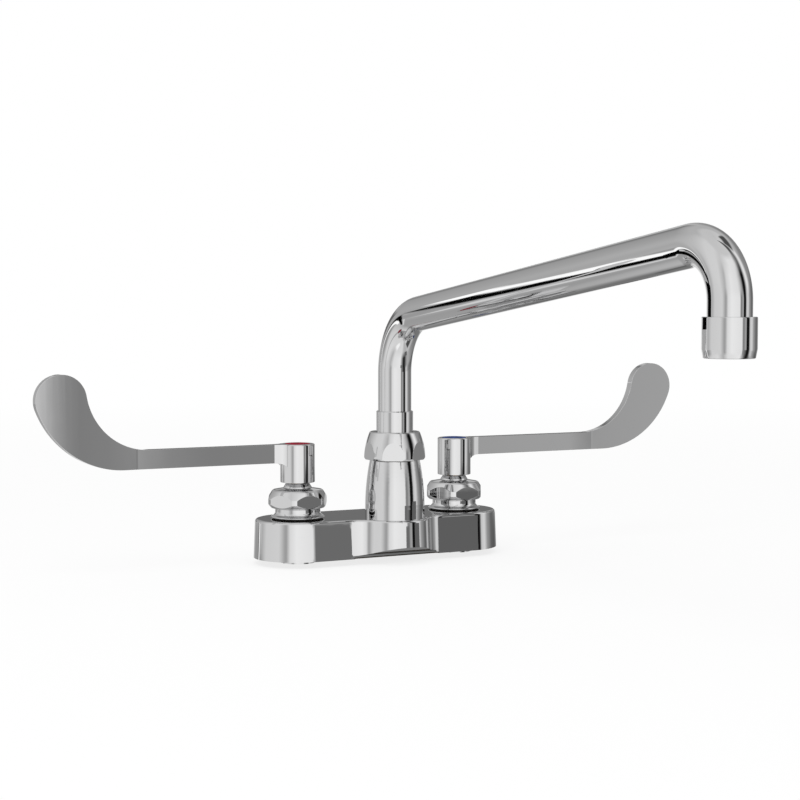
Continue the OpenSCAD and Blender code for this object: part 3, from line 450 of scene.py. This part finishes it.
def turn_on_lathe(name, rings, sides=144, bored=True, x=0.0, y=0.0):
    """A turned piece: rings are (radius, height) in mm round its section. A bored one's last ring is
    joined to its first, and a solid one's two ends are closed."""
    bpy.ops.object.select_all(action="DESELECT")
    bpy.ops.mesh.primitive_circle_add(
        vertices=sides, radius=rings[0][0] * mm, location=(x * mm, y * mm, rings[0][1] * mm))
    piece = bpy.context.object
    piece.name = name
    bpy.ops.object.mode_set(mode="EDIT")
    bpy.ops.mesh.select_all(action="SELECT")
    for (r, z), (next_r, next_z) in zip(rings, rings[1:]):
        bpy.ops.mesh.extrude_edges_move(TRANSFORM_OT_translate={"value": (0, 0, (next_z - z) * mm)})
        grow = next_r / r
        bpy.ops.transform.resize(value=(grow, grow, 1), center_override=(x * mm, y * mm, next_z * mm))
    bpy.ops.mesh.select_all(action="DESELECT")
    bpy.ops.mesh.select_non_manifold()
    if bored:
        bpy.ops.mesh.bridge_edge_loops()
    else:
        bpy.ops.mesh.edge_face_add()
    bpy.ops.mesh.select_all(action="SELECT")
    bpy.ops.mesh.normals_make_consistent(inside=False)
    bpy.ops.object.mode_set(mode="OBJECT")
    bpy.ops.object.transform_apply(location=True, rotation=True, scale=True)
    return piece


def cut_with(piece, tool, how):
    """Joins, crosses or cuts a piece with another, which is used up."""
    bpy.ops.object.select_all(action="DESELECT")
    bpy.context.view_layer.objects.active = piece
    step = piece.modifiers.new("shaped", "BOOLEAN")
    step.operation, step.object, step.solver = how, tool, "EXACT"
    bpy.ops.object.modifier_apply(modifier=step.name)
    bpy.data.objects.remove(tool)


def polish(piece, material, edge=0.0, split=30):
    """Breaks the edges of a finished piece by so many mm, smooths it and gives it its material."""
    bpy.ops.object.select_all(action="DESELECT")
    piece.select_set(True)
    bpy.context.view_layer.objects.active = piece
    if edge:
        broken = piece.modifiers.new("broken edges", "BEVEL")
        broken.width, broken.segments, broken.limit_method = edge * mm, 2, "ANGLE"
        broken.angle_limit = math.radians(split)
        bpy.ops.object.modifier_apply(modifier=broken.name)
    bpy.ops.object.shade_smooth_by_angle(angle=math.radians(split))
    even = piece.modifiers.new("flats stay flat", "WEIGHTED_NORMAL")
    even.keep_sharp = True
    bpy.ops.object.modifier_apply(modifier=even.name)
    piece.data.materials.clear()
    piece.data.materials.append(material)


def copy_of(piece, name, move=(0, 0, 0), mirror=False):
    """A copy with its own mesh, moved in mm, or mirrored to the other side of the faucet."""
    bpy.ops.object.select_all(action="DESELECT")
    piece.select_set(True)
    bpy.context.view_layer.objects.active = piece
    bpy.ops.object.duplicate()
    made = bpy.context.object
    made.name = name
    edit(made)
    if mirror:
        bpy.ops.transform.resize(value=(-1, 1, 1), center_override=(0, 0, 0))
        bpy.ops.mesh.normals_make_consistent(inside=False)
    bpy.ops.transform.translate(value=tuple(step * mm for step in move))
    bpy.ops.object.mode_set(mode="OBJECT")
    return made


bonnet_rings = [
    (cartridge_r, neck_foot), (neck_r, neck_foot), (neck_r, flare_foot),
    (flare_r - 0.3, flare_foot), (flare_r, flare_foot + 0.3)]
bonnet_rings += arc(waist_r + flare_curve, flare_top, flare_curve, 250, 180, 8)
bonnet_rings += [
    (waist_r, waist_top), (chamfer_r, waist_top + 0.4), (corner_r, flats_foot),
    (corner_r, flats_top)]
bonnet_rings += arc(waist_r, shoulder_z, shoulder_curve, 33, 78, 7)
bonnet_rings += [
    (crown_r, bonnet_top), (gland_r, bonnet_top), (gland_r, gland_foot), (stem_hole_r, gland_foot),
    (stem_hole_r, cartridge_top), (cartridge_r, cartridge_top)]
cold_bonnet = turn_on_lathe("cold_hex_bonnet", bonnet_rings)
# the hexagon is milled on it: what it shares with a hexagonal bar that is longer than the bonnet
bpy.ops.mesh.primitive_cylinder_add(
    vertices=6, radius=bonnet_flats / math.sqrt(3) * mm, depth=40 * mm, location=(0, 0, 30 * mm),
    rotation=(0, 0, math.radians(30)))
hexagon = bpy.context.object
cut_with(cold_bonnet, hexagon, "INTERSECT")
edit(cold_bonnet)
bpy.ops.mesh.remove_doubles(threshold=0.02 * mm)
bpy.ops.transform.translate(value=(valve_x * mm, 0, 0))
bpy.ops.object.mode_set(mode="OBJECT")
polish(cold_bonnet, cast_chrome, edge=0.2, split=24)
hot_bonnet = copy_of(cold_bonnet, "hot_hex_bonnet", move=(-2 * valve_x, 0, 0))
for piece, side in ((cold_bonnet, "cold"), (hot_bonnet, "hot")):
    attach(piece, "base")
    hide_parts(side + "_bonnet")

# Gland nuts: small cones turned from brass and plated. They sit in the bonnets' tops round the stems,
# and show as a bright ring under each hub.
# Chrome over fine turning lines: the reflections break into a faint silky grain along them
turned_chrome = bright_metal(
    "chrome plate on turned brass", plated,
    waves=(12, 12, 6), wave_depth=0.005, smooth=0.03, hazy=0.06, lathe_marks=0.0002)
dress(["hot_gland_nut", "cold_gland_nut"], turned_chrome)

# Cartridge sleeves, stems and the spout's split ring: free-cutting brass, turned and left bare inside.
# Each stem comes up through its bonnet and ends in the square that carries the handle.
# Bare turned brass: warm yellow, with plain lathe rings and a dull tarnish in patches
brass = bright_metal(
    "bare turned brass", linear("#C9A765"),
    waves=(5, 5, 5), wave_depth=0.01, smooth=0.18, hazy=0.38, lathe_marks=0.004)
dress(["hot_cartridge_sleeve", "cold_cartridge_sleeve", "hot_stem", "cold_stem", "split_ring"], brass)

# Ceramic discs: sintered alumina, lapped flat to a satin shine. One turns with the stem and opens the
# windows of the one under it.
# Lapped alumina: ivory white, with a satin sheen that changes a little from grain to grain. Its
# crystals are far finer, and are drawn 0.3 mm across so that they show.
alumina, tree, skin, place = new_material("lapped alumina ceramic")
crystal = 0.3 * mm
crystals = add(tree, "TexVoronoi", {"Vector": place, "Scale": 1 / crystal})
tint = add(tree, "ValToRGB", {"Fac": crystals.outputs["Distance"]})
tint.color_ramp.elements[0].color = linear("#F1EEE6")
tint.color_ramp.elements[1].color = linear("#DDD8CC")
tree.links.new(tint.outputs[0], skin.inputs["Base Color"])
satin = add(tree, "MapRange", {"Value": crystals.outputs["Distance"], "To Min": 0.22, "To Max": 0.36})
tree.links.new(satin.outputs[0], skin.inputs["Roughness"])
skin.inputs["IOR"].default_value = 1.76
dress(["hot_fixed_disc", "cold_fixed_disc", "hot_moving_disc", "cold_moving_disc"], alumina)

# Seals: moulded nitrile rubber rings on the stems, under the fixed discs, round the spout's swivel and
# over the outlet insert.
# Nitrile rubber: near black and matt, with the faint grey bloom that the mould leaves
nitrile, tree, skin, place = new_material("moulded nitrile rubber")
bloom_patch = 2 * mm
bloom = add(tree, "TexNoise", {"Vector": place, "Scale": 1 / bloom_patch, "Detail": 5})
tint = add(tree, "ValToRGB", {"Fac": bloom.outputs[0]})
tint.color_ramp.elements[0].color = linear("#121212")
tint.color_ramp.elements[1].color = linear("#2B2B2A")
tree.links.new(tint.outputs[0], skin.inputs["Base Color"])
dull = add(tree, "MapRange", {"Value": bloom.outputs[0], "To Min": 0.45, "To Max": 0.7})
tree.links.new(dull.outputs[0], skin.inputs["Roughness"])
skin.inputs["IOR"].default_value = 1.52
relief = add(tree, "Bump", {"Height": bloom.outputs[0], "Distance": 0.02 * mm, "Strength": 1})
tree.links.new(relief.outputs[0], skin.inputs["Normal"])
dress([
    "hot_seat_seal", "cold_seat_seal", "hot_stem_o_rings", "cold_stem_o_rings", "swivel_o_rings",
    "outlet_washer"], nitrile)

# Handles: wrist blades, each cast in brass in one piece with its hub and buffed all over. The thin arm
# leaves the hub in a short web, bends a little to the front, and curls up into the round blade.
hub_r, hub_foot, hub_top, hub_rim = 9.9, 42.6, 64.5, 0.9
recess_r, recess_depth, socket_r, socket_depth, screw_hole_r = 7.28, 6.0, 4.0, 8, 2.3
arm_h, arm_t, arm_root, length, rim_round = 10.5, 5.0, 15.2, 152.3, 0.85
blade_w, blade_rise, outer_r, inner_r = 28.1, 41.9, 51.5, 35.7
arm_foot, tip_r, side_y = hub_top - arm_h, blade_w / 2, -arm_t / 2
tip_x, tip_z = length - tip_r, hub_top + blade_rise - tip_r
outer_z, inner_z = arm_foot + outer_r, hub_top + inner_r
outer_x = tip_x - math.sqrt((outer_r - tip_r) ** 2 - (outer_z - tip_z) ** 2)
inner_x = tip_x - math.sqrt((inner_r + tip_r) ** 2 - (inner_z - tip_z) ** 2)
outer_end = math.atan2(tip_z - outer_z, tip_x - outer_x)
inner_end = math.atan2(tip_z - inner_z, tip_x - inner_x)

# the outline: one point drawn along the arm, round the blade's three arcs and back
bpy.ops.object.select_all(action="DESELECT")
bpy.ops.mesh.primitive_plane_add(size=2 * mm, location=(arm_root * mm, side_y * mm, arm_foot * mm))
plate = bpy.context.object
plate.name = "blade_plate"
bpy.ops.object.mode_set(mode="EDIT")
bpy.ops.mesh.select_all(action="SELECT")
bpy.ops.mesh.merge(type="CENTER")
bpy.ops.mesh.extrude_region_move(
    TRANSFORM_OT_translate={"value": ((outer_x - arm_root) * mm, 0, 0)})
for x, z, turn, steps in (
        (outer_x, outer_z, outer_end + math.pi / 2, 26),
        (tip_x, tip_z, inner_end + math.pi - outer_end, 56),
        (inner_x, inner_z, -(inner_end + math.pi / 2), 26)):
    bpy.ops.mesh.spin(steps=steps, angle=turn, center=(x * mm, side_y * mm, z * mm), axis=(0, 1, 0))
bpy.ops.mesh.extrude_region_move(
    TRANSFORM_OT_translate={"value": ((arm_root - inner_x) * mm, 0, 0)})
bpy.ops.mesh.select_all(action="SELECT")
bpy.ops.mesh.remove_doubles(threshold=0.01 * mm)
bpy.ops.mesh.edge_face_add()
bpy.ops.mesh.extrude_region_move(TRANSFORM_OT_translate={"value": (0, arm_t * mm, 0)})
bpy.ops.object.mode_set(mode="OBJECT")
bpy.ops.object.transform_apply(location=True, rotation=True, scale=True)


def pick(piece, kind, wanted):
    """Opens a piece with only the points or faces selected that wanted(place in mm, normal) wants."""
    edit(piece, kind)
    bpy.ops.mesh.select_all(action="DESELECT")
    bpy.ops.object.mode_set(mode="OBJECT")
    if kind == "VERT":
        for point in piece.data.vertices:
            point.select = wanted(point.co / mm, point.normal)
    else:
        for face in piece.data.polygons:
            face.select = wanted(face.center / mm, face.normal)
    bpy.ops.object.mode_set(mode="EDIT")


# the web: the arm's root drawn in to the hub in steps of place, half width and underside, wider and
# deeper at each
x_now, low_now, half_now = arm_root, arm_foot, arm_t / 2
touch_x = 7.2
for x, half, low in ((12.8, 3.1, 53.9), (10.6, 3.75, 53.2), (8.6, 5.1, 52.0), (touch_x, 6.4, 50.8)):
    pick(plate, "FACE", lambda place, normal: abs(place.x - x_now) < 0.01 and normal.x < -0.9)
    bpy.ops.mesh.extrude_region_move(TRANSFORM_OT_translate={"value": ((x - x_now) * mm, 0, 0)})
    bpy.ops.transform.resize(
        value=(1, half / half_now, (hub_top - low) / (hub_top - low_now)),
        center_override=(x * mm, 0, hub_top * mm))
    x_now, low_now, half_now = x, low, half

# the bend: 3.4 degrees to the front in a tight crease, then eased back a little towards the tip
crease = [(95.4, 1.7), (96.6, 1.7)]
eased = [101 + 3.5 * i for i in range(14)]
for x, turn in crease + [(x, -0.06) for x in eased]:
    edit(plate, "FACE")
    bpy.ops.mesh.bisect(plane_co=(x * mm, 0, 0), plane_no=(1, 0, 0))
    pick(plate, "VERT", lambda place, normal: place.x > x + 0.3)
    bpy.ops.transform.rotate(value=math.radians(turn), orient_axis="Z", center_override=(x * mm, 0, 0))

# the rims are rounded by most of a millimetre, and the inner end is cut to sit inside the hub's wall
edit(plate, "EDGE")
bpy.ops.mesh.select_all(action="DESELECT")
bpy.ops.mesh.edges_select_sharp(sharpness=math.radians(60))
bpy.ops.object.mode_set(mode="OBJECT")
for rim in plate.data.edges:
    if all(plate.data.vertices[end].co.x < (touch_x + 0.1) * mm for end in rim.vertices):
        rim.select = False
bpy.ops.object.mode_set(mode="EDIT")
bpy.ops.mesh.bevel(offset=rim_round * mm, segments=4, clamp_overlap=True)
bpy.ops.mesh.select_all(action="SELECT")
bpy.ops.mesh.normals_make_consistent(inside=False)
bpy.ops.object.mode_set(mode="OBJECT")
inside_r = hub_r - 1.3  # in the middle of the hub's wall
cutter = turn_on_lathe("cutter", [(inside_r, 45), (inside_r, 70)], bored=False)
cut_with(plate, cutter, "DIFFERENCE")

# the hub: turned, with the button's recess on top, the screw's hole, and the socket for the stem,
# which nothing shows and is left round
hub_rings = [
    (socket_r, hub_foot), (hub_r - 0.5, hub_foot), (hub_r - 0.15, hub_foot + 0.15),
    (hub_r, hub_foot + 0.5)]
hub_rings += arc(hub_r - hub_rim, hub_top - hub_rim, hub_rim, 0, 90, 6)
hub_rings += [
    (recess_r + 0.25, hub_top), (recess_r, hub_top - 0.25), (recess_r, hub_top - recess_depth),
    (screw_hole_r, hub_top - recess_depth), (screw_hole_r, hub_top - socket_depth),
    (socket_r, hub_top - socket_depth)]
cold_handle = turn_on_lathe("cold_wrist_blade", hub_rings, sides=160)
cut_with(cold_handle, plate, "UNION")
# the arm and its web meet in a crease, which stays crisp
pick(cold_handle, "VERT", lambda place, normal: abs(place.x - arm_root) < 0.02)
bpy.ops.mesh.mark_sharp()
edit(cold_handle)
bpy.ops.transform.translate(value=(valve_x * mm, 0, 0))
bpy.ops.object.mode_set(mode="OBJECT")
hot_handle = copy_of(cold_handle, "hot_wrist_blade", mirror=True)
# hand bending leaves the hot blade's end a shade straighter than the cold one's
for x in eased[5:]:
    pick(hot_handle, "VERT", lambda place, normal: place.x < -(valve_x + x + 0.3))
    bpy.ops.transform.rotate(
        value=math.radians(0.2), orient_axis="Z", center_override=(-(valve_x + x) * mm, 0, 0))
bpy.ops.object.mode_set(mode="OBJECT")
# Handle castings are buffed harder than the base, so their chrome is the brightest and flattest
blade_chrome = bright_metal(
    "chrome plate on mirror-buffed casting", plated,
    waves=(16, 16, 12), wave_depth=0.012, smooth=0.02, hazy=0.045)
for piece, side in ((cold_handle, "cold"), (hot_handle, "hot")):
    polish(piece, blade_chrome)
    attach(piece, side + "_valve")
    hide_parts(side + "_handle")

# Handle screws and outlet screen: stainless steel. The screws hold the handles on the stems under the
# index buttons, and the screen catches grit at the outlet.
# Bright rolled stainless: a little yellower and softer than the chrome, with fine drawing lines
stainless = bright_metal(
    "bright stainless steel", linear("#CFCDC8"),
    waves=(0.4, 6, 6), wave_depth=0.002, smooth=0.14, hazy=0.28)
dress(["hot_handle_screw", "cold_handle_screw", "outlet_screen"], stainless)

# Index buttons: plugs of coloured acrylic pressed into the hubs over the screws, with a low dome that
# stands just proud of the rim. Crimson is hot and navy is cold, and neither has a letter.
index_r, index_foot, index_rim, index_crown, rim_curve = 7.2, 58.55, 64.25, 64.9, 0.35
hollow_r, hollow_top, middle_r = 6.3, 63.3, 0.3
button_rings = [
    (middle_r, hollow_top), (hollow_r, hollow_top), (hollow_r, index_foot), (index_r, index_foot),
    (index_r, index_rim)]
button_rings += arc(index_r - rim_curve, index_rim, rim_curve, 0, 70, 3)
button_rings += [(5.6, 64.78), (3.6, 64.85), (1.6, 64.89), (middle_r, index_crown)]
cold_button = turn_on_lathe("cold_button", button_rings, sides=96, bored=False, x=valve_x)
hot_button = copy_of(cold_button, "hot_button", move=(-2 * valve_x, 0, 0))
cloud_patch = 3 * mm
for piece, side, thin, deep in (
        (cold_button, "cold", "#2C4A8C", "#16264F"), (hot_button, "hot", "#A01030", "#680A1C")):
    # Tinted cast acrylic: a clear gloss over a deep colour that clouds a little where it is thick
    acrylic, tree, skin, place = new_material("tinted acrylic, " + side)
    cloud = add(tree, "TexNoise", {"Vector": place, "Scale": 1 / cloud_patch, "Detail": 3})
    tint = add(tree, "ValToRGB", {"Fac": cloud.outputs[0]})
    tint.color_ramp.elements[0].position = 0.3
    tint.color_ramp.elements[0].color = linear(deep)
    tint.color_ramp.elements[1].position = 0.7
    tint.color_ramp.elements[1].color = linear(thin)
    tree.links.new(tint.outputs[0], skin.inputs["Base Color"])
    gloss = add(tree, "MapRange", {"Value": cloud.outputs[0], "To Min": 0.08, "To Max": 0.2})
    tree.links.new(gloss.outputs[0], skin.inputs["Coat Roughness"])
    skin.inputs["Roughness"].default_value = 0.5
    skin.inputs["Specular IOR Level"].default_value = 0.0
    skin.inputs["Coat Weight"].default_value = 0.15
    skin.inputs["Coat IOR"].default_value = 1.49
    polish(piece, acrylic)
    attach(piece, side + "_valve")
    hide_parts(side + "_index_button")

# Spout tube: drawn brass tube, 19 mm across, bent on a mandrel up from the column, out to the front
# and down at the outlet, then buffed along its length and plated.
# Chrome over drawn tube: the buffing runs lengthwise, so reflections keep long clean edges
tube_chrome = bright_metal(
    "chrome plate on drawn brass tube", plated,
    waves=(8, 40, 8), wave_depth=0.005, smooth=0.02, hazy=0.045)
column_y, tube_r, tube_wall, tube_foot, tube_end = -21.9, 9.525, 1.2, 67.2, 128.7
rise_z, rise_angle, reach, lower_bend_r, outlet_bend_r = 134.7, math.radians(7), 304.8, 34.2, 24
outlet_y = column_y - reach
lower_run = lower_bend_r * math.tan((math.pi / 2 - rise_angle) / 2)
outlet_run = outlet_bend_r * math.tan((math.pi / 2 + rise_angle) / 2)
rise_length = reach / math.cos(rise_angle) - lower_run - outlet_run
lower_z, outlet_z = rise_z - lower_run, rise_z + reach * math.tan(rise_angle) - outlet_run
bpy.ops.object.select_all(action="DESELECT")
bpy.ops.mesh.primitive_circle_add(
    vertices=96, radius=tube_r * mm, location=(0, column_y * mm, tube_foot * mm))
tube = bpy.context.object
tube.name = "bent_spout_tube"
bpy.ops.object.mode_set(mode="EDIT")
bpy.ops.mesh.select_all(action="SELECT")
bpy.ops.mesh.extrude_edges_move(TRANSFORM_OT_translate={"value": (0, 0, (lower_z - tube_foot) * mm)})
bpy.ops.mesh.spin(
    steps=42, angle=math.pi / 2 - rise_angle, axis=(-1, 0, 0),
    center=(0, (column_y - lower_bend_r) * mm, lower_z * mm))
bpy.ops.mesh.extrude_edges_move(TRANSFORM_OT_translate={"value": (
    0, -rise_length * math.cos(rise_angle) * mm, rise_length * math.sin(rise_angle) * mm)})
bpy.ops.mesh.spin(
    steps=48, angle=math.pi / 2 + rise_angle, axis=(-1, 0, 0),
    center=(0, (outlet_y + outlet_bend_r) * mm, outlet_z * mm))
bpy.ops.mesh.extrude_edges_move(TRANSFORM_OT_translate={"value": (0, 0, (tube_end - outlet_z) * mm)})
bpy.ops.mesh.select_all(action="SELECT")
bpy.ops.mesh.remove_doubles(threshold=0.01 * mm)
bpy.ops.mesh.normals_make_consistent(inside=False)
bpy.ops.object.mode_set(mode="OBJECT")
bpy.ops.object.transform_apply(location=True, rotation=True, scale=True)
wall = tube.modifiers.new("tube wall", "SOLIDIFY")
wall.thickness, wall.offset = tube_wall * mm, -1
bpy.ops.object.modifier_apply(modifier=wall.name)
polish(tube, tube_chrome)
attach(tube, "spout")
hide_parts("spout_tube")

# Swivel sleeve: turned brass, brazed round the tube's foot. Its collar shows over the spout nut, and
# its O-rings and split ring let the spout swing in the column.
dress(["swivel_sleeve"], turned_chrome)

# Slip washer: a thin flat ring, injection-moulded in acetal. It lies under the nut's lip and lets the
# spout turn freely.
# Moulded acetal: milk white with a soft waxy sheen, and faint flow marks from the mould
acetal, tree, skin, place = new_material("white moulded acetal")
flow_mark = 4 * mm
flow = add(tree, "TexNoise", {"Vector": place, "Scale": 1 / flow_mark, "Detail": 4})
tint = add(tree, "ValToRGB", {"Fac": flow.outputs[0]})
tint.color_ramp.elements[0].color = linear("#DEDCD4")
tint.color_ramp.elements[1].color = linear("#F2F0EA")
tree.links.new(tint.outputs[0], skin.inputs["Base Color"])
satin = add(tree, "MapRange", {"Value": flow.outputs[0], "To Min": 0.3, "To Max": 0.45})
tree.links.new(satin.outputs[0], skin.inputs["Roughness"])
skin.inputs["IOR"].default_value = 1.48
dress(["slip_washer"], acetal)

# Spout nut: a domed hexagonal nut turned and milled from brass bar, chrome plated. It screws down on
# the column and holds the spout's sleeve in it.
nut_foot, nut_top, nut_corner_r, nut_dome_r, nut_flats = 55.4, 71.2, 17.45, 36, 32.5
nut_bore_r, nut_bore_top, collar_hole_r = 13.08, 65.25, 10.75
dome_end = math.degrees(math.asin((nut_top - 0.5 - nut_foot - 1) / nut_dome_r))
dome_top_r = nut_corner_r - nut_dome_r * (1 - math.cos(math.radians(dome_end)))
nut_rings = [(nut_bore_r, nut_foot), (nut_corner_r - 0.6, nut_foot)]
nut_rings += arc(nut_corner_r - nut_dome_r, nut_foot + 1, nut_dome_r, 0, dome_end, 14)
nut_rings += [
    (dome_top_r - 0.6, nut_top), (collar_hole_r, nut_top), (collar_hole_r, nut_bore_top),
    (nut_bore_r, nut_bore_top)]
spout_nut = turn_on_lathe("domed_spout_nut", nut_rings, y=column_y)
bpy.ops.mesh.primitive_cylinder_add(
    vertices=6, radius=nut_flats / math.sqrt(3) * mm, depth=40 * mm,
    location=(0, column_y * mm, 63 * mm))
hexagon = bpy.context.object
cut_with(spout_nut, hexagon, "INTERSECT")
edit(spout_nut)
bpy.ops.mesh.remove_doubles(threshold=0.02 * mm)
bpy.ops.object.mode_set(mode="OBJECT")
polish(spout_nut, cast_chrome, edge=0.2, split=12)
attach(spout_nut, "base")
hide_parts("spout_nut")

# Outlet sleeve: turned brass, pressed over the tube's end, with a slight taper to the mouth. It holds
# the washer, the straightener and the screen. Its side is drawn 0.002 mm finer than it is, so that
# its many facets stay inside the solid's.
mouth_z, mouth_r, taper_top, sleeve_r, sleeve_top = 121.5, 10.95, 125.5, 11.6, 138.8
side_r = sleeve_r - 0.002
lip_hole_r, lip_top, insert_r, seat_r = 8.7, 122.5, 9.705, 9.57
outlet_sleeve = turn_on_lathe("outlet_mouth_sleeve", [
    (lip_hole_r, mouth_z), (mouth_r - 0.5, mouth_z), (mouth_r - 0.15, mouth_z + 0.15),
    (mouth_r, mouth_z + 0.5), (side_r, taper_top), (side_r, sleeve_top - 0.5),
    (sleeve_r - 0.15, sleeve_top - 0.15), (sleeve_r - 0.5, sleeve_top), (seat_r, sleeve_top),
    (seat_r, tube_end), (insert_r, tube_end), (insert_r, lip_top), (lip_hole_r, lip_top)], y=outlet_y)
polish(outlet_sleeve, turned_chrome)
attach(outlet_sleeve, "spout")
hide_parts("outlet_sleeve")

# Flow straightener: a moulded disc of polypropylene, with close round holes that calm the water over
# the screen. It is the same milky white as the acetal, with the same waxy sheen.
pale_plastic = acetal.copy()
pale_plastic.name = "pale moulded polypropylene"
dress(["flow_straightener"], pale_plastic)
